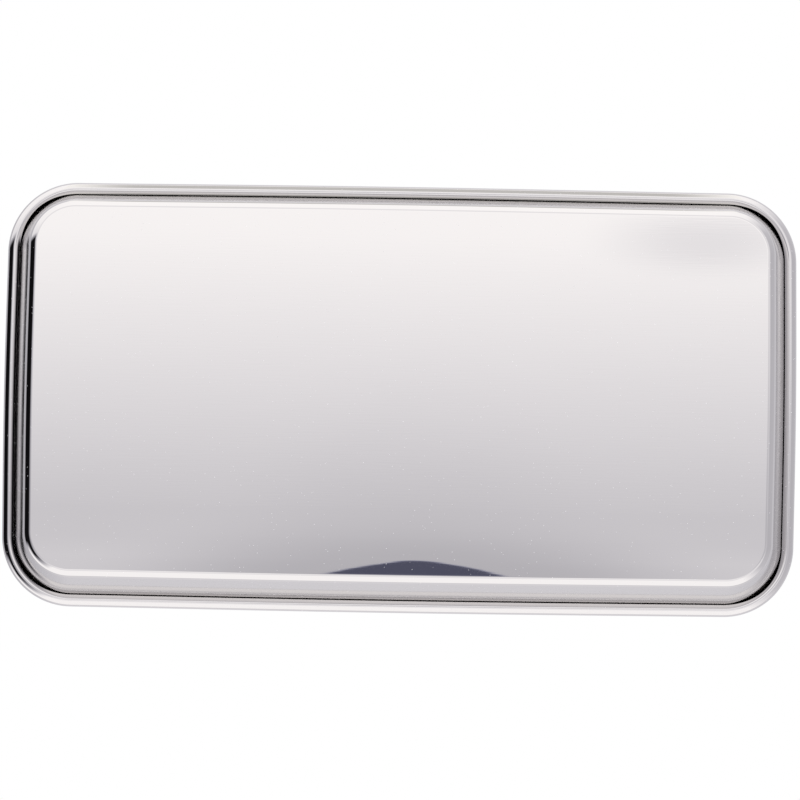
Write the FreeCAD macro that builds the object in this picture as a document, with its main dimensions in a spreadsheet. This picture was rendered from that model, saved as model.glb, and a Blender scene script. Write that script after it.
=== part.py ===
import FreeCAD, Part
import math
import os

import Sketcher
from FreeCAD import Vector

# A shallow rectangular tray pressed from one stainless sheet, its rim rolled outwards over a wire.
# Frame: +Z up, +X along the length. The tray rests on z = 0, with the origin under its centre.

# Driving dimensions in millimetres, and one angle in degrees: (alias, value, what it is)
SIZES = [
    ("length", 240.0, "over the bead, at the middle of the short sides"),
    ("width", 130.0, "over the bead, at the middle of the long sides"),
    ("height", 20.0, "from the underside to the top of the bead"),
    ("sheet", 0.6, "thickness of the sheet"),
    ("corner_radius", 21.0, "plan radius of each corner, over the bead"),
    ("long_side_bow", 0.45, "how far a long side bows out past its corners"),
    ("short_side_bow", 0.55, "how far a short side bows out past its corners"),
    ("bead_diameter", 4.0, "outside diameter of the rolled rim"),
    ("curl_gap", 0.2, "between the sheet's free edge and the wall"),
    ("wall_draft", 12.0, "lean of the wall from the vertical"),
    ("bend_radius", 1.7, "inside radius between the base and the wall"),
    ("wire_clearance", 0.2, "between the wire and the inside of the curl"),
    ("wire_butt_gap", 0.8, "between the two ends of the wire"),
    ("relief_width", 1.3, "widest opening of the curl at a corner"),
    ("relief_half_angle", 40.0, "how far the opening runs each way from the corner's middle"),
]

doc = FreeCAD.newDocument("tray")
sheet = doc.addObject("Spreadsheet::Sheet", "Sizes")
for row, (alias, size, meaning) in enumerate(SIZES, start=1):
    sheet.set(f"A{row}", meaning)
    sheet.set(f"B{row}", str(size))
    sheet.setAlias(f"B{row}", alias)
doc.recompute()

# Expressions that more than one feature uses
BEAD_RADIUS = "(Sizes.bead_diameter / 2)"
CURL_BORE = f"({BEAD_RADIUS} - Sizes.sheet)"
OUTER_BEND = "(Sizes.bend_radius + Sizes.sheet)"
DRAFT = "(Sizes.wall_draft * 1 deg)"
BEAD_CENTRE_Z = f"(Sizes.height - {BEAD_RADIUS})"
CORNER_X = "(Sizes.length / 2 - Sizes.corner_radius - Sizes.short_side_bow)"
CORNER_Y = "(Sizes.width / 2 - Sizes.corner_radius - Sizes.long_side_bow)"
# A side is an arc tangent to both of its corner arcs, so its radius follows from how far it bows.
LONG_RADIUS = (
    f"(Sizes.corner_radius + ({CORNER_X} ^ 2 + Sizes.long_side_bow ^ 2) / (2 * Sizes.long_side_bow))"
)
SHORT_RADIUS = (
    f"(Sizes.corner_radius + ({CORNER_Y} ^ 2 + Sizes.short_side_bow ^ 2) / (2 * Sizes.short_side_bow))"
)
# From the outermost line of the bead in to the edge of the flat base
BASE_INSET = (
    f"({BEAD_RADIUS} + ({CURL_BORE} + {OUTER_BEND}"
    f" + ({BEAD_CENTRE_Z} - {OUTER_BEND}) * sin({DRAFT})) / cos({DRAFT}))"
)
# How far below the bead's centre line the sheet's free edge lies, as an angle at that centre
EDGE_ANGLE = f"(acos(({CURL_BORE} - Sizes.curl_gap) / {BEAD_RADIUS}) - {DRAFT})"
# The corner relief reaches just past the inner corner of the free edge. It starts halfway between
# that edge and the wall, so that it takes the whole edge and leaves the wall alone.
RELIEF_DROP = f"({CURL_BORE} * sin({EDGE_ANGLE}) - Sizes.curl_gap / 2)"
EDGE_INSET = f"({BEAD_RADIUS} * (1 + cos({EDGE_ANGLE})))"
WALL_INSET = f"({BEAD_RADIUS} + ({CURL_BORE} + {RELIEF_DROP} * sin({DRAFT})) / cos({DRAFT}))"
RELIEF_INSET = f"(({EDGE_INSET} + {WALL_INSET}) / 2)"


def value(expression):
    """The number that an expression on the sheet gives now."""
    return float(sheet.evalExpression(expression))


def add_sketch(body, name, plane, height=None):
    """A sketch on one of the body's origin planes, raised by height (an expression) if given."""
    sketch = body.newObject("Sketcher::SketchObject", name)
    support = next(f for f in body.Origin.OriginFeatures if f.Role == plane)
    sketch.AttachmentSupport = [(support, "")]
    sketch.MapMode = "FlatFace"
    if height:
        sketch.setExpression("AttachmentOffset.Base.z", height)
    return sketch


def add_arc(sketch, centre, radius, start, end):
    """An arc that runs anticlockwise from start to end, both in radians."""
    circle = Part.Circle(Vector(*centre, 0), Vector(0, 0, 1), radius)
    return sketch.addGeometry(Part.ArcOfCircle(circle, start, end), False)


def add_line(sketch, start, end):
    return sketch.addGeometry(Part.LineSegment(Vector(*start, 0), Vector(*end, 0)), False)


def bind(sketch, kind, targets, expression):
    """A dimension whose size is an expression on the sheet."""
    index = sketch.addConstraint(Sketcher.Constraint(kind, *targets, abs(value(expression))))
    sketch.setExpression(f"Constraints[{index}]", expression)


START, END, CENTRE = 1, 2, 3
ORIGIN = (-1, 1)
X_AXIS = -1


def place(sketch, point, x_expression, y_expression, x_sign=1, y_sign=1):
    """Fixes a point at positive distances from the origin, in the quadrant that the signs give."""
    for kind, expression, sign in (
        ("DistanceX", x_expression, x_sign),
        ("DistanceY", y_expression, y_sign),
    ):
        ends = (*ORIGIN, *point) if sign > 0 else (*point, *ORIGIN)
        bind(sketch, kind, ends, expression)


def add_outline(sketch, inset):
    """The tray's plan outline, drawn in by inset: four corner arcs joined by four shallow side arcs.

    It starts and ends at the middle of the +X side, which is one arc in two halves.
    """
    drawn_in = value(inset)
    corner_x, corner_y = value(CORNER_X), value(CORNER_Y)
    long_radius, short_radius = value(LONG_RADIUS) - drawn_in, value(SHORT_RADIUS) - drawn_in
    corner_radius = value("Sizes.corner_radius") - drawn_in
    side_centre_x = value(f"{SHORT_RADIUS} - Sizes.length / 2")
    side_centre_y = value(f"{LONG_RADIUS} - Sizes.width / 2")
    short_half = math.atan2(corner_y, corner_x + side_centre_x)
    long_half = math.atan2(corner_x, corner_y + side_centre_y)
    quarter = math.pi / 2
    up, left, down = quarter, 2 * quarter, 3 * quarter
    full = 4 * quarter

    corners, pieces = [], []

    def side(centre, radius, start, end):
        pieces.append(add_arc(sketch, centre, radius, start, end))

    def corner(x_sign, y_sign, start, end):
        centre = (x_sign * corner_x, y_sign * corner_y)
        pieces.append(add_arc(sketch, centre, corner_radius, start, end))
        corners.append((pieces[-1], x_sign, y_sign))

    side((-side_centre_x, 0), short_radius, 0, short_half)
    corner(1, 1, short_half, up - long_half)
    side((0, -side_centre_y), long_radius, up - long_half, up + long_half)
    corner(-1, 1, up + long_half, left - short_half)
    side((side_centre_x, 0), short_radius, left - short_half, left + short_half)
    corner(-1, -1, left + short_half, down - long_half)
    side((0, side_centre_y), long_radius, down - long_half, down + long_half)
    corner(1, -1, down + long_half, full - short_half)
    side((-side_centre_x, 0), short_radius, full - short_half, full)

    for this, following in zip(pieces, pieces[1:]):
        sketch.addConstraint(Sketcher.Constraint("Tangent", this, END, following, START))
    first, last = pieces[0], pieces[-1]
    sketch.addConstraint(Sketcher.Constraint("Coincident", last, END, first, START))
    sketch.addConstraint(Sketcher.Constraint("Coincident", last, CENTRE, first, CENTRE))
    sketch.addConstraint(Sketcher.Constraint("PointOnObject", first, START, X_AXIS))
    for index, x_sign, y_sign in corners:
        place(sketch, (index, CENTRE), CORNER_X, CORNER_Y, x_sign, y_sign)
        bind(sketch, "Radius", (index,), f"Sizes.corner_radius - {inset}")
    for index, radius in zip(pieces[0:7:2], (SHORT_RADIUS, LONG_RADIUS) * 2):
        bind(sketch, "Radius", (index,), f"{radius} - {inset}")


def add_section(sketch):
    """The sheet's section across the +X side: the bend, the drafted wall and the curl of the rim."""
    draft = math.radians(value("Sizes.wall_draft"))
    thickness = value("Sizes.sheet")
    outer_bend = value(OUTER_BEND)
    bore, bead_radius = value(CURL_BORE), value(BEAD_RADIUS)
    base_edge = value(f"Sizes.length / 2 - {BASE_INSET}")
    bend_centre = (base_edge, outer_bend)
    curl_centre = (value(f"Sizes.length / 2 - {BEAD_RADIUS}"), value(BEAD_CENTRE_Z))
    wall_side = math.pi - draft
    free_edge = -math.pi - draft + math.acos((bore - value("Sizes.curl_gap")) / bead_radius)

    def on_circle(centre, radius, angle):
        return centre[0] + radius * math.cos(angle), centre[1] + radius * math.sin(angle)

    bend_out = add_arc(sketch, bend_centre, outer_bend, -math.pi / 2, -draft)
    wall_out = add_line(
        sketch,
        on_circle(bend_centre, outer_bend, -draft),
        on_circle(curl_centre, bore, wall_side),
    )
    curl_in = add_arc(sketch, curl_centre, bore, free_edge, wall_side)
    cut_edge = add_line(
        sketch,
        on_circle(curl_centre, bore, free_edge),
        on_circle(curl_centre, bead_radius, free_edge),
    )
    curl_out = add_arc(sketch, curl_centre, bead_radius, free_edge, wall_side)
    wall_in = add_line(
        sketch,
        on_circle(curl_centre, bead_radius, wall_side),
        on_circle(bend_centre, outer_bend - thickness, -draft),
    )
    bend_in = add_arc(sketch, bend_centre, outer_bend - thickness, -math.pi / 2, -draft)
    base_end = add_line(sketch, (base_edge, thickness), (base_edge, 0))

    joined = [
        ("Coincident", base_end, END, bend_out, START),
        ("Tangent", bend_out, END, wall_out, START),
        ("Tangent", wall_out, END, curl_in, END),
        ("Coincident", curl_in, START, cut_edge, START),
        ("Coincident", cut_edge, END, curl_out, START),
        ("Tangent", curl_out, END, wall_in, START),
        ("Tangent", wall_in, END, bend_in, END),
        ("Coincident", bend_in, START, base_end, START),
        ("Coincident", bend_in, CENTRE, bend_out, CENTRE),
        ("Coincident", curl_in, CENTRE, curl_out, CENTRE),
        ("PointOnObject", curl_out, CENTRE, cut_edge),
        ("PointOnObject", bend_out, START, X_AXIS),
        ("Vertical", bend_out, START, bend_out, CENTRE),
        ("Vertical", base_end),
    ]
    for kind, *targets in joined:
        sketch.addConstraint(Sketcher.Constraint(kind, *targets))
    bind(sketch, "DistanceX", (*ORIGIN, bend_out, CENTRE), f"Sizes.length / 2 - {BASE_INSET}")
    place(sketch, (curl_out, CENTRE), f"Sizes.length / 2 - {BEAD_RADIUS}", BEAD_CENTRE_Z)
    bind(sketch, "Radius", (bend_out,), OUTER_BEND)
    bind(sketch, "Radius", (bend_in,), "Sizes.bend_radius")
    bind(sketch, "Radius", (curl_in,), CURL_BORE)
    bind(sketch, "Radius", (curl_out,), BEAD_RADIUS)
    bind(sketch, "Distance", (cut_edge, END, wall_out), "Sizes.curl_gap")


def add_corner_relief(sketch):
    """Four crescents, where the sheet's free edge stands back from the wall round each corner."""
    inner = f"(Sizes.corner_radius - {RELIEF_INSET})"
    half = "(Sizes.relief_half_angle * 1 deg)"
    # The outer arc is centred out along the diagonal, so that it meets the inner arc at both ends.
    shift = (
        f"((Sizes.relief_width ^ 2 + 2 * {inner} * Sizes.relief_width)"
        f" / (2 * ({inner} * (1 - cos({half})) + Sizes.relief_width)))"
    )
    outer = f"({inner} + Sizes.relief_width - {shift})"
    outer_x = f"({CORNER_X} + {shift} * cos(45 deg))"
    outer_y = f"({CORNER_Y} + {shift} * sin(45 deg))"
    near_half = math.radians(value("Sizes.relief_half_angle"))
    tip_across = value(inner) * math.sin(near_half)
    tip_along = value(inner) * math.cos(near_half) - value(shift)
    far_half = math.atan2(tip_across, tip_along)
    for quarter_turn, (x_sign, y_sign) in enumerate(((1, 1), (-1, 1), (-1, -1), (1, -1))):
        middle = math.pi / 4 + quarter_turn * math.pi / 2
        near_centre = (x_sign * value(CORNER_X), y_sign * value(CORNER_Y))
        far_centre = (x_sign * value(outer_x), y_sign * value(outer_y))
        near = add_arc(sketch, near_centre, value(inner), middle - near_half, middle + near_half)
        far = add_arc(sketch, far_centre, value(outer), middle - far_half, middle + far_half)
        for end in (START, END):
            sketch.addConstraint(Sketcher.Constraint("Coincident", near, end, far, end))
        place(sketch, (near, CENTRE), CORNER_X, CORNER_Y, x_sign, y_sign)
        place(sketch, (far, CENTRE), outer_x, outer_y, x_sign, y_sign)
        bind(sketch, "Radius", (near,), inner)
        bind(sketch, "Radius", (far,), outer)


def add_body(label):
    body = doc.addObject("PartDesign::Body", label)
    body.Label = label
    body.Placement = FreeCAD.Placement()
    return body


def sweep(body, section, path):
    """A closed section carried right round a plan outline."""
    pipe = body.newObject("PartDesign::AdditivePipe", f"{body.Label}_sweep")
    pipe.Profile = section
    pipe.Spine = path
    doc.recompute()
    return pipe


def make_tray_pan():
    """The pressed sheet: a flat base, with the bend, wall and rolled rim swept round its edge."""
    pan = add_body("tray_pan")
    base_edge = add_sketch(pan, "base_edge", "XY_Plane")
    add_outline(base_edge, BASE_INSET)
    doc.recompute()
    base = pan.newObject("PartDesign::Pad", "base")
    base.Profile = base_edge
    base.setExpression("Length", "Sizes.sheet")
    doc.recompute()

    section = add_sketch(pan, "section", "XZ_Plane")
    add_section(section)
    doc.recompute()
    sweep(pan, section, base_edge)

    relief_shape = add_sketch(pan, "relief_shape", "XY_Plane")
    add_corner_relief(relief_shape)
    doc.recompute()
    whole = pan.Shape.Volume
    relief = pan.newObject("PartDesign::Pocket", "corner_relief")
    relief.Profile = relief_shape
    relief.Reversed = True
    relief.setExpression("Length", f"{BEAD_CENTRE_Z} - {RELIEF_DROP}")
    doc.recompute()
    if pan.Shape.Volume >= whole:
        raise RuntimeError("the corner relief cuts nothing")
    return pan


def make_rim_wire():
    """The wire inside the rolled rim, bent to the rim's outline, its ends butted on the +Y side."""
    wire = add_body("rim_wire")
    path = add_sketch(wire, "wire_path", "XY_Plane", BEAD_CENTRE_Z)
    add_outline(path, BEAD_RADIUS)
    doc.recompute()

    section = add_sketch(wire, "wire_section", "XZ_Plane")
    centre_x = f"Sizes.length / 2 - {BEAD_RADIUS}"
    wire_radius = f"{CURL_BORE} - Sizes.wire_clearance"
    centre = Vector(value(centre_x), value(BEAD_CENTRE_Z), 0)
    circle = section.addGeometry(
        Part.Circle(centre, Vector(0, 0, 1), value(wire_radius)), False
    )
    place(section, (circle, CENTRE), centre_x, BEAD_CENTRE_Z)
    bind(section, "Radius", (circle,), wire_radius)
    doc.recompute()
    sweep(wire, section, path)

    whole = wire.Shape.Volume
    slot = add_sketch(wire, "butt_slot", "XY_Plane")
    half_gap = value("Sizes.wire_butt_gap / 2")
    near, far = value("Sizes.width / 2 - Sizes.bead_diameter"), value("Sizes.width / 2")
    points = [(-half_gap, near), (half_gap, near), (half_gap, far), (-half_gap, far)]
    sides = [add_line(slot, a, b) for a, b in zip(points, points[1:] + points[:1])]
    for this, following in zip(sides, sides[1:] + sides[:1]):
        slot.addConstraint(Sketcher.Constraint("Coincident", this, END, following, START))
    slot.addConstraint(Sketcher.Constraint("Horizontal", sides[0]))
    slot.addConstraint(Sketcher.Constraint("Horizontal", sides[2]))
    slot.addConstraint(Sketcher.Constraint("Vertical", sides[1]))
    slot.addConstraint(Sketcher.Constraint("Vertical", sides[3]))
    bind(slot, "DistanceX", (sides[0], START, *ORIGIN), "Sizes.wire_butt_gap / 2")
    bind(slot, "DistanceX", (*ORIGIN, sides[0], END), "Sizes.wire_butt_gap / 2")
    bind(slot, "DistanceY", (*ORIGIN, sides[0], END), "Sizes.width / 2 - Sizes.bead_diameter")
    bind(slot, "DistanceY", (*ORIGIN, sides[2], END), "Sizes.width / 2")
    doc.recompute()
    butt = wire.newObject("PartDesign::Pocket", "butt_joint")
    butt.Profile = slot
    butt.Reversed = True
    butt.setExpression("Length", "Sizes.height")
    doc.recompute()
    if wire.Shape.Volume >= whole:
        raise RuntimeError("the butt joint cuts nothing")
    return wire


nodes = [make_tray_pan(), make_rim_wire()]
doc.recompute()

failed = [o.Name for o in doc.Objects if {"Invalid", "Error"} & set(o.State)]
if failed:
    raise RuntimeError(f"failed objects: {failed}")
for node in nodes:
    if node.Shape.isNull() or not node.Shape.isValid() or len(node.Shape.Solids) != 1:
        raise RuntimeError(f"{node.Label} is not one valid solid")

os.makedirs("parts", exist_ok=True)
for node in nodes:
    node.Shape.exportStep(f"parts/{node.Label}.step")
    box = node.Shape.optimalBoundingBox(True, False)
    print(
        f"{node.Label}: {box.XLength:.2f} x {box.YLength:.2f} x {box.ZLength:.2f} mm,"
        f" z {box.ZMin:.2f} to {box.ZMax:.2f}, {node.Shape.Volume:.0f} mm3"
    )
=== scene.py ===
import math

import bmesh
import bpy
from mathutils import Matrix, Vector


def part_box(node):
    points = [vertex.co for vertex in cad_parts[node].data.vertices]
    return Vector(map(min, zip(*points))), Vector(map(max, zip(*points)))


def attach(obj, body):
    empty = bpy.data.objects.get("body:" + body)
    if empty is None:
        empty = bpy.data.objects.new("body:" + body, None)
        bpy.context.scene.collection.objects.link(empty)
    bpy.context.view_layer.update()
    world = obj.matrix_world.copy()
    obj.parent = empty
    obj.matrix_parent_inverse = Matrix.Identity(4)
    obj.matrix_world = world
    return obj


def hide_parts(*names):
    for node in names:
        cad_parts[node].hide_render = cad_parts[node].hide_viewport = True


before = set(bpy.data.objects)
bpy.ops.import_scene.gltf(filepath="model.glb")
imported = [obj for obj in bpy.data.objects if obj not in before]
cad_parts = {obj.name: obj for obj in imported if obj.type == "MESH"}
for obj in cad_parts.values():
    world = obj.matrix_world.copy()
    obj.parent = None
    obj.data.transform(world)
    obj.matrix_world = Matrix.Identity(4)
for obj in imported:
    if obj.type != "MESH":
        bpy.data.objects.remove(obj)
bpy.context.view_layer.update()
scene = bpy.context.scene
mm = 0.001


def linear(hexColour):
    # sRGB hex to the linear colour that shaders use
    parts = [int(hexColour[i:i + 2], 16) / 255 for i in (1, 3, 5)]
    return [c / 12.92 if c <= 0.04045 else ((c + 0.055) / 1.055) ** 2.4 for c in parts] + [1.0]


def addNode(tree, kind, links=(), values=(), stops=(), **settings):
    # adds one node with its settings, incoming links, socket values and ramp stops (both ends first)
    node = tree.nodes.new(kind)
    for name, value in settings.items():
        setattr(node, name, value)
    for socket, value in dict(values).items():
        node.inputs[socket].default_value = value
    for socket, source in dict(links).items():
        tree.links.new(source, node.inputs[socket])
    for count, (position, grey) in enumerate(stops):
        ramp = node.color_ramp.elements
        stop = ramp[count] if count < 2 else ramp.new(position)
        stop.position = position
        stop.color = (grey, grey, grey, 1.0)
    return node


def newMaterial(name):
    material = bpy.data.materials.new(name)
    material.use_nodes = True
    material.node_tree.nodes.clear()
    return material, material.node_tree


# camera: a long lens under the tray, a little towards +Y, looking up at its underside

viewpoint = {
    "lens": 360.0,       # mm
    "sensor": 36.0,      # mm
    "distance": 2.4235,  # metres from the aim
    "tilt": 6.6,         # degrees from straight below
    "roll": 0.93,        # degrees
    "aim": (0.0, 0.0002, 0.018),   # metres, at the height of the bead's middle
    "farthest": 50.0,    # metres
}


def makeCamera():
    data = bpy.data.cameras.new("camera")
    data.lens = viewpoint["lens"]
    data.sensor_width = viewpoint["sensor"]
    data.clip_end = viewpoint["farthest"]
    camera = bpy.data.objects.new("camera", data)
    scene.collection.objects.link(camera)
    tilt = math.radians(viewpoint["tilt"])
    back = Vector((0, math.sin(tilt), -math.cos(tilt)))
    side = Vector((1, 0, 0))
    turned = Matrix((side, back.cross(side), back)).transposed().to_4x4()
    roll = Matrix.Rotation(math.radians(viewpoint["roll"]), 4, "Z")
    place = Vector(viewpoint["aim"]) + back * viewpoint["distance"]
    camera.matrix_world = Matrix.Translation(place) @ turned @ roll
    scene.camera = camera


# studio: what the polished sheet reflects. A level is what the sheet then shows, so the light is
# stronger by its reflectance. A slope is how far a direction leans from straight down, along X or Y

darkLevel = 0.004             # of the dark side, on -X

studio = {
    "reflectance": 0.64,
    "leastDepth": 0.02,       # keeps the slopes finite near the horizon
    # the lit sheet straight below
    "sheetMiddle": -0.025,    # a slope along Y
    "sheetReach": (0.052, 0.125),   # slopes along X and Y
    "sheetFade": (-0.15, 0.10),     # slopes along Y between which its ramp runs
    # soft dimmer patches on it: reach is in slopes, and start and end are shares of that reach
    "shades": [
        {"middle": (0.00208, -0.01053), "reach": (0.04167, 0.10526),
         "start": 0.35, "end": 1.1, "level": 0.74},    # round the camera
        {"middle": (0.03838, -0.13656), "reach": (0.013755, 0.0044053),
         "start": 0.1, "end": 1.3, "level": 0.84},     # far from it, on +X
    ],
    # the camera's own dark reflection, an arch
    "cameraLevel": 0.075,
    "archTop": -0.048,        # slopes along Y where its top lies
    "archBottom": -0.022,     # and where its foot starts to fade
    "archFade": 0.015,        # over this much
    "archMiddle": 0.0024,     # a slope along X
    "archRound": 0.0145,      # larger is a blunter top
    "archSpread": 3.6,        # larger is a narrower arch
    "archSoft": 0.0018,       # half the width of its soft edge
    # heights are the Z of a direction, from -1 straight down to 1 straight up
    "steepToLevel": (-0.6, -0.2),   # the ramp of the steep sides gives way to that of the level ones
    "belowToAbove": (0.12, 0.26),   # and everything below gives way to the overhead part
    "overheadGain": 1.6,
    "dimTint": (1.015, 1.0, 1.12, 1.0),     # dim parts are a little lilac, and bright ones warm
    "brightTint": (1.015, 1.0, 0.98, 1.0),
    "archTint": (0.97, 1.0, 1.5, 1.0),      # the arch is slate blue
    # a grey card beside the -Y rim, in metres
    "cardLevel": 0.50,
    "cardEndLevel": 0.9,
    "cardTint": (1.0, 0.985, 0.95, 1.0),
    "cardHalf": 0.106,        # half its length
    "cardFade": 0.026,        # its ends brighten over this length
    "cardNear": (0.0065, 0.002),    # its two long edges: distance out from the rim, height
    "cardFar": (0.030, 0.0175),
    # floor and lamp, in metres and watts
    "floorHalf": 1.6,
    "floorDrop": 0.0004,      # below the tray
    "floorColour": "#F1F0EE",
    "lampPower": 9.0,
    "lampSize": 1.2,
    "lampPlace": (-0.9, -0.7, 1.6),
}

# ramps: each stop is a position from 0 to 1 and a level, and both ends come first
ramps = {
    # the lit sheet, from -Y to +Y, and a dimmer ring just outside it
    "sheet": [(0.0, 0.92), (1.0, 0.92), (0.054, 0.888), (0.181, 0.585), (0.196, 0.555),
              (0.28, 0.56), (0.40, 0.59), (0.62, 0.58), (0.80, 0.70)],
    "ring": [(0.0, 1.0), (1.0, 1.0), (0.01, 1.0), (0.06, 0.80), (0.20, 0.80), (0.36, 1.0)],
    # all round in plan, from +X by -Y, -X and +Y: grey on +X, dark on -X, white on both Y sides
    "sides": [(0.0, 0.43), (1.0, 0.43), (0.10, 0.50), (0.19, 0.88), (0.25, 0.92), (0.40, 0.86),
              (0.45, 0.72), (0.472, darkLevel), (0.83, 0.88), (0.92, 0.50)],
    # where the dark ends, which is further round for steep directions than for level ones
    "steepEnd": [(0.575, darkLevel), (0.615, 0.30), (0.67, 0.88)],
    "levelEnd": [(0.525, darkLevel), (0.56, 0.70), (0.59, 0.88)],
    # how far past the sheet the sides take over, from -X to +X
    "takeover": [(0.0, 0.55), (1.0, 0.80), (0.30, 0.50), (0.45, 0.30), (0.55, 0.32), (0.95, 0.80)],
    # overhead: in plan, in the same order as the sides, and a brighter band part of the way up
    "ceiling": [(0.0, 0.45), (1.0, 0.45), (0.25, 0.56), (0.5, 0.34), (0.75, 0.57)],
    "band": [(0.0, 0.50), (1.0, 0.62), (0.25, 0.60), (0.5, 0.72), (0.72, 0.66), (0.86, 0.60)],
}


def softShade(tree, slopes, shade):
    # a soft oval patch: its own level in the middle, and 1 outside it
    (middleX, middleY), (reachX, reachY) = shade["middle"], shade["reach"]
    place = addNode(tree, "ShaderNodeMapping", {"Vector": slopes}, {
        "Location": (-middleX / reachX, -middleY / reachY, 0.0),
        "Scale": (1 / reachX, 1 / reachY, 1.0)})
    size = addNode(tree, "ShaderNodeVectorMath", {0: place.outputs[0]}, operation="LENGTH")
    soft = addNode(tree, "ShaderNodeMapRange", {"Value": size.outputs["Value"]},
                   {"From Min": shade["start"], "From Max": shade["end"],
                    "To Min": shade["level"], "To Max": 1.0}, interpolation_type="SMOOTHSTEP")
    return soft.outputs[0]


def cameraArch(tree, slopes, along):
    # 0 inside the dark arch of the camera and whoever stands behind it, and 1 outside
    place = addNode(tree, "ShaderNodeMapping", {"Vector": slopes}, {
        "Location": (-studio["archSpread"] * studio["archMiddle"], studio["archRound"], 0.0),
        "Scale": (studio["archSpread"], 0.0, 0.0)})
    shoulder = addNode(tree, "ShaderNodeVectorMath", {0: place.outputs[0]}, operation="LENGTH")
    rise = addNode(tree, "ShaderNodeMath", {0: along, 1: shoulder.outputs["Value"]},
                   operation="SUBTRACT")
    start = studio["archTop"] - studio["archRound"]
    side = addNode(tree, "ShaderNodeMapRange", {"Value": rise.outputs[0]},
                   {"From Min": start - studio["archSoft"], "From Max": start + studio["archSoft"],
                    "To Min": 1.0, "To Max": 0.0}, interpolation_type="SMOOTHSTEP")
    foot = addNode(tree, "ShaderNodeMapRange", {"Value": along},
                   {"From Min": studio["archBottom"],
                    "From Max": studio["archBottom"] + studio["archFade"]},
                   interpolation_type="SMOOTHSTEP")
    edge = addNode(tree, "ShaderNodeMath", {0: side.outputs[0], 1: foot.outputs[0]},
                   operation="MAXIMUM")
    return edge.outputs[0]


def straightBelow(tree, slopes, along, arch):
    # a lit sheet that fades towards the camera, with its soft shades and the arch
    fadeStart, fadeEnd = studio["sheetFade"]
    fade = addNode(tree, "ShaderNodeMapRange", {"Value": along},
                   {"From Min": fadeStart, "From Max": fadeEnd})
    lit = addNode(tree, "ShaderNodeValToRGB", {"Fac": fade.outputs[0]}, stops=ramps["sheet"])
    level = lit.outputs[0]
    for shade in studio["shades"]:
        shaded = addNode(tree, "ShaderNodeMath", {0: level, 1: softShade(tree, slopes, shade)},
                         operation="MULTIPLY")
        level = shaded.outputs[0]
    seen = addNode(tree, "ShaderNodeMix", {0: arch, 3: level}, {2: studio["cameraLevel"]},
                   data_type="FLOAT")
    return seen.outputs[0]


def pastSheet(tree, slopes):
    # how far a direction lies past the edge of the lit sheet, along X and Y
    fromMiddle = addNode(tree, "ShaderNodeVectorMath", {0: slopes},
                         {1: (0.0, -studio["sheetMiddle"], 0.0)}, operation="ADD")
    span = addNode(tree, "ShaderNodeVectorMath", {0: fromMiddle.outputs[0]}, operation="ABSOLUTE")
    beyond = addNode(tree, "ShaderNodeVectorMath", {0: span.outputs[0]},
                     {1: (*studio["sheetReach"], 0.0)}, operation="SUBTRACT")
    past = addNode(tree, "ShaderNodeVectorMath", {0: beyond.outputs[0]}, {1: (0.0, 0.0, 0.0)},
                   operation="MAXIMUM")
    way = addNode(tree, "ShaderNodeVectorMath", {0: fromMiddle.outputs[0]}, operation="SIGN")
    outside = addNode(tree, "ShaderNodeVectorMath", {0: past.outputs[0], 1: way.outputs[0]},
                      operation="MULTIPLY")
    return outside.outputs[0]


def planTurn(tree, outX, outY):
    # the direction in plan: 0 on +X, a quarter on -Y, a half on -X, three quarters on +Y
    mirrored = addNode(tree, "ShaderNodeMath", {0: outX}, {1: -1.0}, operation="MULTIPLY")
    heading = addNode(tree, "ShaderNodeMath", {0: outY, 1: mirrored.outputs[0]}, operation="ARCTAN2")
    turn = addNode(tree, "ShaderNodeMapRange", {"Value": heading.outputs[0]},
                   {"From Min": -math.pi, "From Max": math.pi})
    return turn.outputs[0]


def allRound(tree, turn, height):
    # the sides of the room
    steep = addNode(tree, "ShaderNodeValToRGB", {"Fac": turn}, stops=ramps["sides"] + ramps["steepEnd"])
    level = addNode(tree, "ShaderNodeValToRGB", {"Fac": turn}, stops=ramps["sides"] + ramps["levelEnd"])
    start, end = studio["steepToLevel"]
    share = addNode(tree, "ShaderNodeMapRange", {"Value": height}, {"From Min": start, "From Max": end},
                    interpolation_type="SMOOTHSTEP")
    mixed = addNode(tree, "ShaderNodeMix", {0: share.outputs[0], 2: steep.outputs[0],
                                            3: level.outputs[0]}, data_type="FLOAT")
    return mixed.outputs[0]


def overhead(tree, turn, height):
    # the upper part of the room
    ceiling = addNode(tree, "ShaderNodeValToRGB", {"Fac": turn}, stops=ramps["ceiling"])
    band = addNode(tree, "ShaderNodeValToRGB", {"Fac": height}, stops=ramps["band"])
    raised = addNode(tree, "ShaderNodeMath", {0: band.outputs[0]}, {1: studio["overheadGain"]},
                     operation="MULTIPLY")
    level = addNode(tree, "ShaderNodeMath", {0: ceiling.outputs[0], 1: raised.outputs[0]},
                    operation="MULTIPLY")
    return level.outputs[0]


def takenOver(tree, outX, slant):
    # how much of a direction belongs to the sides, from 0 at the sheet's edge to 1
    rightward = addNode(tree, "ShaderNodeMath", {0: outX, 1: slant}, operation="DIVIDE")
    compass = addNode(tree, "ShaderNodeMapRange", {"Value": rightward.outputs[0]},
                      {"From Min": -1.0, "From Max": 1.0})
    reach = addNode(tree, "ShaderNodeValToRGB", {"Fac": compass.outputs[0]}, stops=ramps["takeover"])
    outward = addNode(tree, "ShaderNodeMapRange", {"Value": slant, "From Max": reach.outputs[0]},
                      {"From Min": 0.0}, interpolation_type="SMOOTHSTEP")
    return outward.outputs[0]


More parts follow.
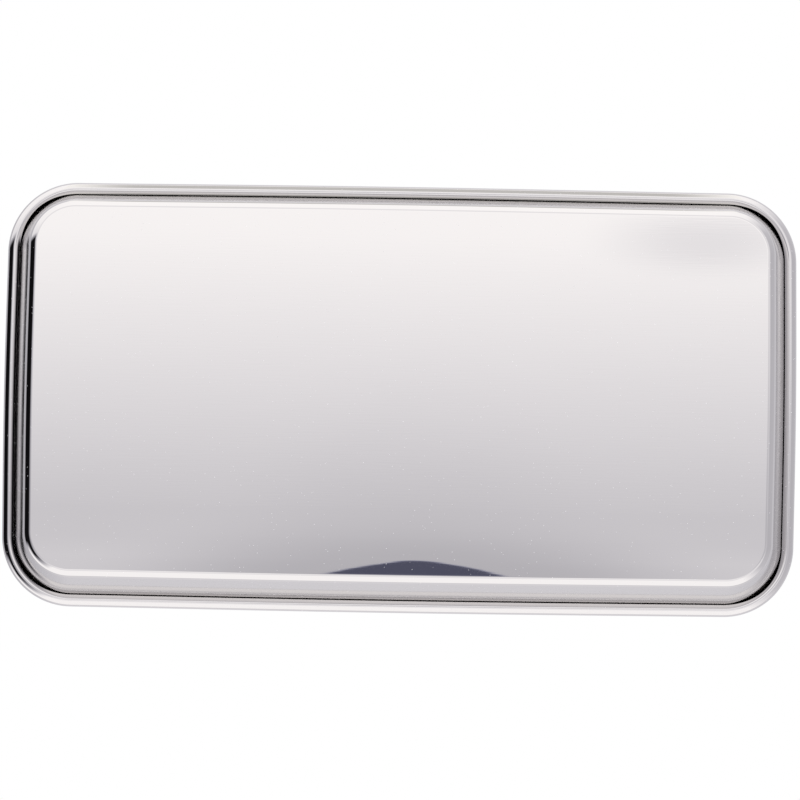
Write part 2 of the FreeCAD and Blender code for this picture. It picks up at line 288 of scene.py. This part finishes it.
def tinted(tree, level, plain):
    # gives a level its colour, where plain is 0 only inside the arch
    tint = addNode(tree, "ShaderNodeMix", {0: level},
                   {6: studio["dimTint"], 7: studio["brightTint"]}, data_type="RGBA")
    slate = addNode(tree, "ShaderNodeMix", {0: plain, 7: tint.outputs[2]}, {6: studio["archTint"]},
                    data_type="RGBA")
    coloured = addNode(tree, "ShaderNodeVectorMath", {0: slate.outputs[2], 1: level},
                       operation="MULTIPLY")
    return coloured.outputs[0]


def makeWorld():
    world = bpy.data.worlds.new("studio")
    world.use_nodes = True
    scene.world = world
    tree = world.node_tree
    tree.nodes.clear()
    place = addNode(tree, "ShaderNodeTexCoord")
    axes = addNode(tree, "ShaderNodeSeparateXYZ", {0: place.outputs["Generated"]})
    x, y, z = axes.outputs
    down = addNode(tree, "ShaderNodeMath", {0: z}, {1: -1.0}, operation="MULTIPLY")
    depth = addNode(tree, "ShaderNodeMath", {0: down.outputs[0]}, {1: studio["leastDepth"]},
                    operation="MAXIMUM")
    across = addNode(tree, "ShaderNodeMath", {0: x, 1: depth.outputs[0]}, operation="DIVIDE")
    along = addNode(tree, "ShaderNodeMath", {0: y, 1: depth.outputs[0]}, operation="DIVIDE").outputs[0]
    slopes = addNode(tree, "ShaderNodeCombineXYZ", {0: across.outputs[0], 1: along}).outputs[0]

    arch = cameraArch(tree, slopes, along)
    sheet = straightBelow(tree, slopes, along, arch)
    outside = pastSheet(tree, slopes)
    outX, outY = addNode(tree, "ShaderNodeSeparateXYZ", {0: outside}).outputs[:2]
    slant = addNode(tree, "ShaderNodeVectorMath", {0: outside}, operation="LENGTH").outputs["Value"]
    turn = planTurn(tree, outX, outY)
    outward = takenOver(tree, outX, slant)
    joined = addNode(tree, "ShaderNodeMix", {0: outward, 2: sheet, 3: allRound(tree, turn, z)},
                     data_type="FLOAT")
    ring = addNode(tree, "ShaderNodeValToRGB", {"Fac": slant}, stops=ramps["ring"])
    below = addNode(tree, "ShaderNodeMath", {0: joined.outputs[0], 1: ring.outputs[0]},
                    operation="MULTIPLY")
    start, end = studio["belowToAbove"]
    upward = addNode(tree, "ShaderNodeMapRange", {"Value": z}, {"From Min": start, "From Max": end},
                     interpolation_type="SMOOTHSTEP")
    level = addNode(tree, "ShaderNodeMix", {0: upward.outputs[0], 2: below.outputs[0],
                                            3: overhead(tree, turn, z)}, data_type="FLOAT")
    plain = addNode(tree, "ShaderNodeMath", {0: arch, 1: outward}, operation="MAXIMUM")

    # the room lights and is reflected, while the backdrop itself is seen as plain white
    glow = addNode(tree, "ShaderNodeBackground",
                   {"Color": tinted(tree, level.outputs[0], plain.outputs[0])},
                   {"Strength": 1.0 / studio["reflectance"]})
    backdrop = addNode(tree, "ShaderNodeBackground", values={"Color": (1, 1, 1, 1)})
    ray = addNode(tree, "ShaderNodeLightPath")
    seen = addNode(tree, "ShaderNodeMixShader", {0: ray.outputs["Is Camera Ray"],
                                                 1: glow.outputs[0], 2: backdrop.outputs[0]})
    addNode(tree, "ShaderNodeOutputWorld", {"Surface": seen.outputs[0]})


def makeFloor():
    # a plain pale floor that is seen only from above, so it never hides the underside
    bm = bmesh.new()
    bmesh.ops.create_grid(bm, x_segments=1, y_segments=1, size=studio["floorHalf"])
    bmesh.ops.translate(bm, verts=bm.verts, vec=(0, 0, -studio["floorDrop"]))
    mesh = bpy.data.meshes.new("studio_floor")
    bm.to_mesh(mesh)
    bm.free()
    floor = bpy.data.objects.new("studio_floor", mesh)
    scene.collection.objects.link(floor)
    material, tree = newMaterial("matteFloor")
    facing = addNode(tree, "ShaderNodeNewGeometry")
    matte = addNode(tree, "ShaderNodeBsdfDiffuse", values={"Color": linear(studio["floorColour"])})
    clear = addNode(tree, "ShaderNodeBsdfTransparent")
    side = addNode(tree, "ShaderNodeMixShader", {0: facing.outputs["Backfacing"],
                                                 1: matte.outputs[0], 2: clear.outputs[0]})
    addNode(tree, "ShaderNodeOutputMaterial", {"Surface": side.outputs[0]})
    mesh.materials.append(material)
    floor.visible_glossy = False
    floor.visible_diffuse = False
    floor.visible_transmission = False
    floor.visible_shadow = False


def makeCard():
    # a narrow grey card along the -Y rim, which greys the rolled edge there but not the base's bend
    low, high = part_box("tray_pan")
    (nearOut, nearUp), (farOut, farUp) = studio["cardNear"], studio["cardFar"]
    bm = bmesh.new()
    start = bm.verts.new((-studio["cardHalf"], low.y - nearOut, nearUp))
    edge = bmesh.ops.extrude_vert_indiv(bm, verts=[start])
    bmesh.ops.translate(bm, verts=edge["verts"], vec=(2 * studio["cardHalf"], 0, 0))
    made = bmesh.ops.extrude_edge_only(bm, edges=edge["edges"])["geom"]
    outer = [item for item in made if isinstance(item, bmesh.types.BMVert)]
    bmesh.ops.translate(bm, verts=outer, vec=(0, nearOut - farOut, farUp - nearUp))
    mesh = bpy.data.meshes.new("grey_card")
    bm.to_mesh(mesh)
    bm.free()
    card = bpy.data.objects.new("grey_card", mesh)
    scene.collection.objects.link(card)
    material, tree = newMaterial("greyCard")
    place = addNode(tree, "ShaderNodeTexCoord")
    axes = addNode(tree, "ShaderNodeSeparateXYZ", {0: place.outputs["Object"]})
    away = addNode(tree, "ShaderNodeMath", {0: axes.outputs[0]}, operation="ABSOLUTE")
    level = addNode(tree, "ShaderNodeMapRange", {"Value": away.outputs[0]},
                    {"From Min": studio["cardHalf"] - studio["cardFade"], "From Max": studio["cardHalf"],
                     "To Min": studio["cardLevel"] / studio["reflectance"],
                     "To Max": studio["cardEndLevel"] / studio["reflectance"]},
                    interpolation_type="SMOOTHSTEP")
    glow = addNode(tree, "ShaderNodeEmission", {"Strength": level.outputs[0]},
                   {"Color": studio["cardTint"]})
    addNode(tree, "ShaderNodeOutputMaterial", {"Surface": glow.outputs[0]})
    mesh.materials.append(material)
    card.visible_camera = False
    card.visible_diffuse = False
    card.visible_shadow = False


def makeLamp():
    # one large soft lamp above the tray
    data = bpy.data.lights.new("soft_lamp", "AREA")
    data.energy = studio["lampPower"]
    data.size = studio["lampSize"]
    lamp = bpy.data.objects.new("soft_lamp", data)
    scene.collection.objects.link(lamp)
    place = Vector(studio["lampPlace"])
    lamp.matrix_world = Matrix.Translation(place) @ place.to_track_quat("Z", "Y").to_matrix().to_4x4()
    lamp.visible_glossy = False


# the pan: one pressed sheet. Its underside is modelled, and the sheet's thickness is added inwards

tray = {
    # sizes in mm, angles in degrees
    "sheet": 0.6,
    "cornerRadius": 21.0,    # in plan, over the bead
    "shortSideBow": 0.55,
    "longSideBow": 0.45,
    "beadDiameter": 4.0,
    "bendRadius": 2.3,       # outside, between the base and the wall
    "wallLean": 12.0,
    "edgeGap": 0.05,         # between the sheet's free edge and the wall
    "cornerOpening": 0.6,    # the same at the middle of a corner
    "openingReach": 46.0,    # how far round it runs from that middle, where a side starts at 45
    "longInset": 0.5,        # how much further in the base's edge lies on the long sides
    "shortInset": -0.2,      # and on the short sides
    "droopReach": 20.0,      # the base starts to turn up this far before its +Y edge
    "droopSlope": 0.04,      # and reaches this slope there
    "edgeRound": 0.2,        # on the cut edge
    "roundedAbove": 50.0,    # edges that turn more than this are rounded
    "edgeStrip": 0.25,       # width of the flat base's last step, which keeps it flat to the eye
    "mergeGap": 0.0005,      # points closer than this become one
    "slack": 0.001,          # how near a point must be to count as on a line
    "boreSlack": 0.01,       # and as on the bead's bore
    # steps
    "flatSteps": 6,
    "bendSteps": 14,
    "wallSteps": 10,
    "curlSteps": 48,
    "edgeSteps": 3,
    "cornerSteps": 36,
    "shortSteps": 14,
    "longSteps": 28,
}


def panPlaces():
    # the section's places, outwards from the centre of a plan corner, in mm
    low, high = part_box("tray_pan")
    lean = math.radians(tray["wallLean"])
    beadRadius = tray["beadDiameter"] / 2
    bore = beadRadius - tray["sheet"]
    bend = tray["bendRadius"]
    beadOut = tray["cornerRadius"] - beadRadius
    beadUp = high.z / mm - beadRadius
    wallRun = (beadUp - bend + (bore + bend) * math.sin(lean)) / math.cos(lean)
    return {
        "cornerX": high.x / mm - tray["cornerRadius"] - tray["shortSideBow"],
        "cornerY": high.y / mm - tray["cornerRadius"] - tray["longSideBow"],
        "lean": lean, "beadRadius": beadRadius, "bore": bore,
        "beadOut": beadOut, "beadUp": beadUp, "wallRun": wallRun,
        "flatEdge": beadOut - (bore + bend) * math.cos(lean) - wallRun * math.sin(lean),
    }


def curlSweep(p, opening):
    # how far the sheet turns round the bead to leave that opening at the wall, in radians
    return 2 * math.pi - math.acos((p["bore"] - opening) / p["beadRadius"])


def drawSection(bm, p):
    # the underside's section, in the plane where a corner meets the short side
    def run(tip, step, count):
        for _ in range(count):
            tip = bmesh.ops.extrude_vert_indiv(bm, verts=[tip])["verts"][0]
            bmesh.ops.translate(bm, verts=[tip], vec=step)
        return tip

    def turn(tip, centre, axis, angle, steps):
        made = bmesh.ops.spin(bm, geom=[tip], cent=centre, axis=axis, dvec=(0, 0, 0),
                              angle=angle, steps=steps, use_merge=False)
        return [item for item in made["geom_last"] if isinstance(item, bmesh.types.BMVert)][0]

    x, y = p["cornerX"], p["cornerY"]
    tip = bm.verts.new((x, y, 0))
    stride = (p["flatEdge"] - tray["edgeStrip"]) / tray["flatSteps"]
    tip = run(tip, (stride, 0, 0), tray["flatSteps"])
    tip = run(tip, (tray["edgeStrip"], 0, 0), 1)
    tip = turn(tip, (x + p["flatEdge"], y, tray["bendRadius"]), (0, -1, 0),
               math.pi / 2 - p["lean"], tray["bendSteps"])
    stride = p["wallRun"] / tray["wallSteps"]
    tip = run(tip, (stride * math.sin(p["lean"]), 0, stride * math.cos(p["lean"])), tray["wallSteps"])
    turn(tip, (x + p["beadOut"], y, p["beadUp"]), (0, 1, 0),
         curlSweep(p, tray["edgeGap"]), tray["curlSteps"])


def pullEdges(bm, edges, step, count):
    for _ in range(count):
        made = bmesh.ops.extrude_edge_only(bm, edges=edges)["geom"]
        points = [item for item in made if isinstance(item, bmesh.types.BMVert)]
        edges = [item for item in made if isinstance(item, bmesh.types.BMEdge)
                 and all(v in points for v in item.verts)]
        bmesh.ops.translate(bm, verts=points, vec=step)


def shapeRim(co, p):
    # opens the curl towards the corners, sets the base's edge in or out, and bows the sides out
    overX = max(abs(co.x) - p["cornerX"], 0.0)
    overY = max(abs(co.y) - p["cornerY"], 0.0)
    out = math.hypot(overX, overY)
    rise = co.z - p["beadUp"]
    if abs(math.hypot(out - p["beadOut"], rise) - p["bore"]) < tray["boreSlack"]:
        if overX > 0 and overY > 0:
            away = abs(math.degrees(math.atan2(overY, overX)) - 45)
        else:
            side = p["cornerY"] - abs(co.y) if overX > 0 else p["cornerX"] - abs(co.x)
            away = 45 + math.degrees(side / tray["cornerRadius"])
        share = math.cos(math.pi / 2 * min(away / tray["openingReach"], 1.0)) ** 2
        opening = tray["edgeGap"] + share * (tray["cornerOpening"] - tray["edgeGap"])
        start = math.pi - p["lean"]
        turned = (start - math.atan2(rise, out - p["beadOut"])) % (2 * math.pi)
        turned *= curlSweep(p, opening) / curlSweep(p, tray["edgeGap"])
        newOut = p["beadOut"] + p["bore"] * math.cos(start - turned)
        co.z = p["beadUp"] + p["bore"] * math.sin(start - turned)
        co.x += math.copysign(overX / out * (newOut - out), co.x)
        co.y += math.copysign(overY / out * (newOut - out), co.y)
    elif out > 0:
        # the wall takes the inset up, so it leans more on the long sides than on the short ones
        share = min(out / p["flatEdge"], 1.0) * max(1 - co.z / p["beadUp"], 0.0)
        co.x -= math.copysign(tray["shortInset"] * share * overX / out, co.x)
        co.y -= math.copysign(tray["longInset"] * share * overY / out, co.y)
    endX = p["cornerX"] + tray["cornerRadius"]
    endY = p["cornerY"] + tray["cornerRadius"]
    bowX = tray["shortSideBow"] * max(1 - (co.y / endY) ** 2, 0.0) ** 2
    bowY = tray["longSideBow"] * max(1 - (co.x / endX) ** 2, 0.0) ** 2
    co.x += bowX * co.x / endX
    co.y += bowY * co.y / endY


def droopBase(co, p):
    # the base turns up gently before its +Y edge, and the wall above takes it up again
    edge = p["cornerY"] + p["flatEdge"]
    past = co.y - (edge - tray["droopReach"])
    if past <= 0:
        return
    share = min(past / tray["droopReach"], 1.0)
    lift = tray["droopSlope"] * tray["droopReach"] / 3 * share ** 3
    lift += tray["droopSlope"] * min(max(co.y - edge, 0.0), tray["bendRadius"])
    co.z += lift * max(1 - co.z / (p["beadUp"] - p["beadRadius"]), 0.0)


def buildPan():
    p = panPlaces()
    bm = bmesh.new()
    drawSection(bm, p)
    firstEdges = list(bm.edges)
    made = bmesh.ops.spin(bm, geom=list(bm.verts) + firstEdges, cent=(p["cornerX"], p["cornerY"], 0),
                          axis=(0, 0, 1), dvec=(0, 0, 0), angle=math.pi / 2,
                          steps=tray["cornerSteps"], use_merge=False)
    lastEdges = [item for item in made["geom_last"] if isinstance(item, bmesh.types.BMEdge)]
    pullEdges(bm, firstEdges, (0, -p["cornerY"] / tray["shortSteps"], 0), tray["shortSteps"])
    pullEdges(bm, lastEdges, (-p["cornerX"] / tray["longSteps"], 0, 0), tray["longSteps"])

    def onInnerLine(v):
        # the open line from X = 0 to the corner's centre, from which the base's middle is filled in
        onLine = v.co.z < tray["slack"] and abs(v.co.y - p["cornerY"]) < tray["slack"]
        return onLine and v.co.x < p["cornerX"] + tray["slack"]

    bmesh.ops.remove_doubles(bm, verts=bm.verts, dist=tray["mergeGap"])
    innerEdges = [e for e in bm.edges if all(onInnerLine(v) for v in e.verts)]
    pullEdges(bm, innerEdges, (0, -p["cornerY"] / tray["shortSteps"], 0), tray["shortSteps"])
    bmesh.ops.remove_doubles(bm, verts=bm.verts, dist=tray["mergeGap"])
    for axis in ("X", "Y"):
        bmesh.ops.mirror(bm, geom=list(bm.verts) + list(bm.edges) + list(bm.faces),
                         matrix=Matrix.Identity(4), merge_dist=tray["mergeGap"], axis=axis)
    bmesh.ops.remove_doubles(bm, verts=bm.verts, dist=tray["mergeGap"])
    bmesh.ops.recalc_face_normals(bm, faces=bm.faces)
    lowest = min(bm.faces, key=lambda face: face.calc_center_median().length)
    if lowest.normal.z > 0:
        bmesh.ops.reverse_faces(bm, faces=bm.faces)
    for v in bm.verts:
        shapeRim(v.co, p)
        droopBase(v.co, p)
    bmesh.ops.scale(bm, verts=bm.verts, vec=(mm, mm, mm))
    for face in bm.faces:
        face.smooth = True
    mesh = bpy.data.meshes.new("pan_sheet")
    bm.to_mesh(mesh)
    bm.free()
    pan = bpy.data.objects.new("pan_sheet", mesh)
    scene.collection.objects.link(pan)
    thicken = pan.modifiers.new("thickness", "SOLIDIFY")
    thicken.thickness = tray["sheet"] * mm
    thicken.offset = -1.0
    thicken.use_even_offset = True
    thicken.use_quality_normals = True
    ease = pan.modifiers.new("cutEdge", "BEVEL")
    ease.width = tray["edgeRound"] * mm
    ease.segments = tray["edgeSteps"]
    ease.limit_method = "ANGLE"
    ease.angle_limit = math.radians(tray["roundedAbove"])
    return pan


# polished stainless sheet, pressed and buffed: a mirror with a very faint waviness, fine buffing
# lines along the length, slightly duller worked walls and rim, and a few specks of dust

polish = {
    "colour": "#D3D1D1",
    "panelRoughness": 0.012,
    "wallRoughness": 0.09,
    "wallHeights": (1.2, 3.2),     # mm, where the panel's finish gives way to the wall's
    "rimRoughness": 0.05,
    "rimHeights": (15.0, 16.2),    # mm, and the wall's to the rim's
    "lineSpacing": 0.5,     # mm, coarser than the real lines so that they show
    "lineDepth": 0.00035,   # mm
    "lineStretch": 0.04,    # larger is a shorter line
    "waveSize": 22.0,       # mm
    "waveDepth": 0.002,     # mm
    "hazeSize": 9.0,        # mm, of the patches where the finish is duller or brighter
    "hazeRange": (0.8, 1.25),      # what they multiply the roughness by
    "dustSpacing": 1.5,     # mm
    "dustSize": 0.065,      # share of the spacing
    "dustColour": "#F4F4F6",
}
noiseRange = (0.3, 0.7)     # between which a noise texture's values mostly lie


def polishedStainless():
    material, tree = newMaterial("polishedStainless")
    place = addNode(tree, "ShaderNodeTexCoord")
    where = place.outputs["Object"]
    axes = addNode(tree, "ShaderNodeSeparateXYZ", {0: where})
    (wallLow, wallHigh), (rimLow, rimHigh) = polish["wallHeights"], polish["rimHeights"]
    wall = addNode(tree, "ShaderNodeMapRange", {"Value": axes.outputs[2]},
                   {"From Min": wallLow * mm, "From Max": wallHigh * mm,
                    "To Min": polish["panelRoughness"], "To Max": polish["wallRoughness"]},
                   interpolation_type="SMOOTHSTEP")
    rim = addNode(tree, "ShaderNodeMapRange", {"Value": axes.outputs[2], "To Min": wall.outputs[0]},
                  {"From Min": rimLow * mm, "From Max": rimHigh * mm,
                   "To Max": polish["rimRoughness"]}, interpolation_type="SMOOTHSTEP")
    stretch = addNode(tree, "ShaderNodeMapping", {"Vector": where},
                      {"Scale": (polish["lineStretch"], 1.0, 1.0)})
    lines = addNode(tree, "ShaderNodeTexNoise", {"Vector": stretch.outputs[0]},
                    {"Scale": 1 / (polish["lineSpacing"] * mm), "Detail": 3.0})
    waves = addNode(tree, "ShaderNodeTexNoise", {"Vector": where},
                    {"Scale": 1 / (polish["waveSize"] * mm), "Detail": 1.0})
    haze = addNode(tree, "ShaderNodeTexNoise", {"Vector": where},
                   {"Scale": 1 / (polish["hazeSize"] * mm), "Detail": 4.0})
    uneven = addNode(tree, "ShaderNodeMapRange", {"Value": haze.outputs[0]},
                     {"From Min": noiseRange[0], "From Max": noiseRange[1],
                      "To Min": polish["hazeRange"][0], "To Max": polish["hazeRange"][1]})
    rough = addNode(tree, "ShaderNodeMath", {0: rim.outputs[0], 1: uneven.outputs[0]},
                    operation="MULTIPLY")
    grain = addNode(tree, "ShaderNodeBump", {"Height": lines.outputs[0]},
                    {"Strength": 1.0, "Distance": polish["lineDepth"] * mm})
    wavy = addNode(tree, "ShaderNodeBump", {"Height": waves.outputs[0], "Normal": grain.outputs[0]},
                   {"Strength": 1.0, "Distance": polish["waveDepth"] * mm})
    metal = addNode(tree, "ShaderNodeBsdfPrincipled", {"Roughness": rough.outputs[0],
                                                       "Normal": wavy.outputs[0]},
                    {"Base Color": linear(polish["colour"]), "Metallic": 1.0})
    specks = addNode(tree, "ShaderNodeTexVoronoi", {"Vector": where},
                     {"Scale": 1 / (polish["dustSpacing"] * mm)})
    speckMask = addNode(tree, "ShaderNodeMath", {0: specks.outputs["Distance"]},
                        {1: polish["dustSize"]}, operation="LESS_THAN")
    dust = addNode(tree, "ShaderNodeBsdfDiffuse", values={"Color": linear(polish["dustColour"])})
    dusty = addNode(tree, "ShaderNodeMixShader", {0: speckMask.outputs[0], 1: metal.outputs[0],
                                                  2: dust.outputs[0]})
    addNode(tree, "ShaderNodeOutputMaterial", {"Surface": dusty.outputs[0]})
    return material


# drawn steel wire, pulled through a die and left bare, with lines along it: duller than the sheet, and
# painted far darker than steel as painted shade, so that it stays as black as the shadow in the curl's
# opening

wireFinishAndShade = {
    # painted shade: far darker than bare steel, so the wire looks like the shadow inside the curl
    "colour": "#403D3A",
    "roughness": 0.42,
    "roughnessSpread": 0.1,   # how far the lines raise and lower it
    "lineSpacing": 0.25,      # mm
    "lineDepth": 0.006,       # mm
    "lineStrength": 0.4,
}


# the wire's material, whose colour is darkened as painted shade
def drawnSteelAndPaintedShade():
    material, tree = newMaterial("drawnSteelAndPaintedShade")
    place = addNode(tree, "ShaderNodeTexCoord")
    lines = addNode(tree, "ShaderNodeTexNoise", {"Vector": place.outputs["Object"]},
                    {"Scale": 1 / (wireFinishAndShade["lineSpacing"] * mm), "Detail": 4.0})
    rough = addNode(tree, "ShaderNodeMapRange", {"Value": lines.outputs[0]},
                    {"From Min": noiseRange[0], "From Max": noiseRange[1],
                     "To Min": wireFinishAndShade["roughness"] - wireFinishAndShade["roughnessSpread"],
                     "To Max": wireFinishAndShade["roughness"] + wireFinishAndShade["roughnessSpread"]})
    grain = addNode(tree, "ShaderNodeBump", {"Height": lines.outputs[0]},
                    {"Strength": wireFinishAndShade["lineStrength"],
                     "Distance": wireFinishAndShade["lineDepth"] * mm})
    metal = addNode(tree, "ShaderNodeBsdfPrincipled", {"Roughness": rough.outputs[0],
                                                       "Normal": grain.outputs[0]},
                    {"Base Color": linear(wireFinishAndShade["colour"]), "Metallic": 1.0})
    addNode(tree, "ShaderNodeOutputMaterial", {"Surface": metal.outputs[0]})
    return material


scene.view_settings.view_transform = "Standard"
makeCamera()
makeWorld()
makeFloor()
makeLamp()
makeCard()
print("studio ready")

pan = buildPan()
pan.data.materials.append(polishedStainless())
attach(pan, "root")
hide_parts("tray_pan")
print("pan ready")

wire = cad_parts["rim_wire"]
# the wire gets the steel material with its painted shade
wireMaterial = drawnSteelAndPaintedShade()
for wireSlot in wire.material_slots:
    wireSlot.material = wireMaterial
print("wire ready")
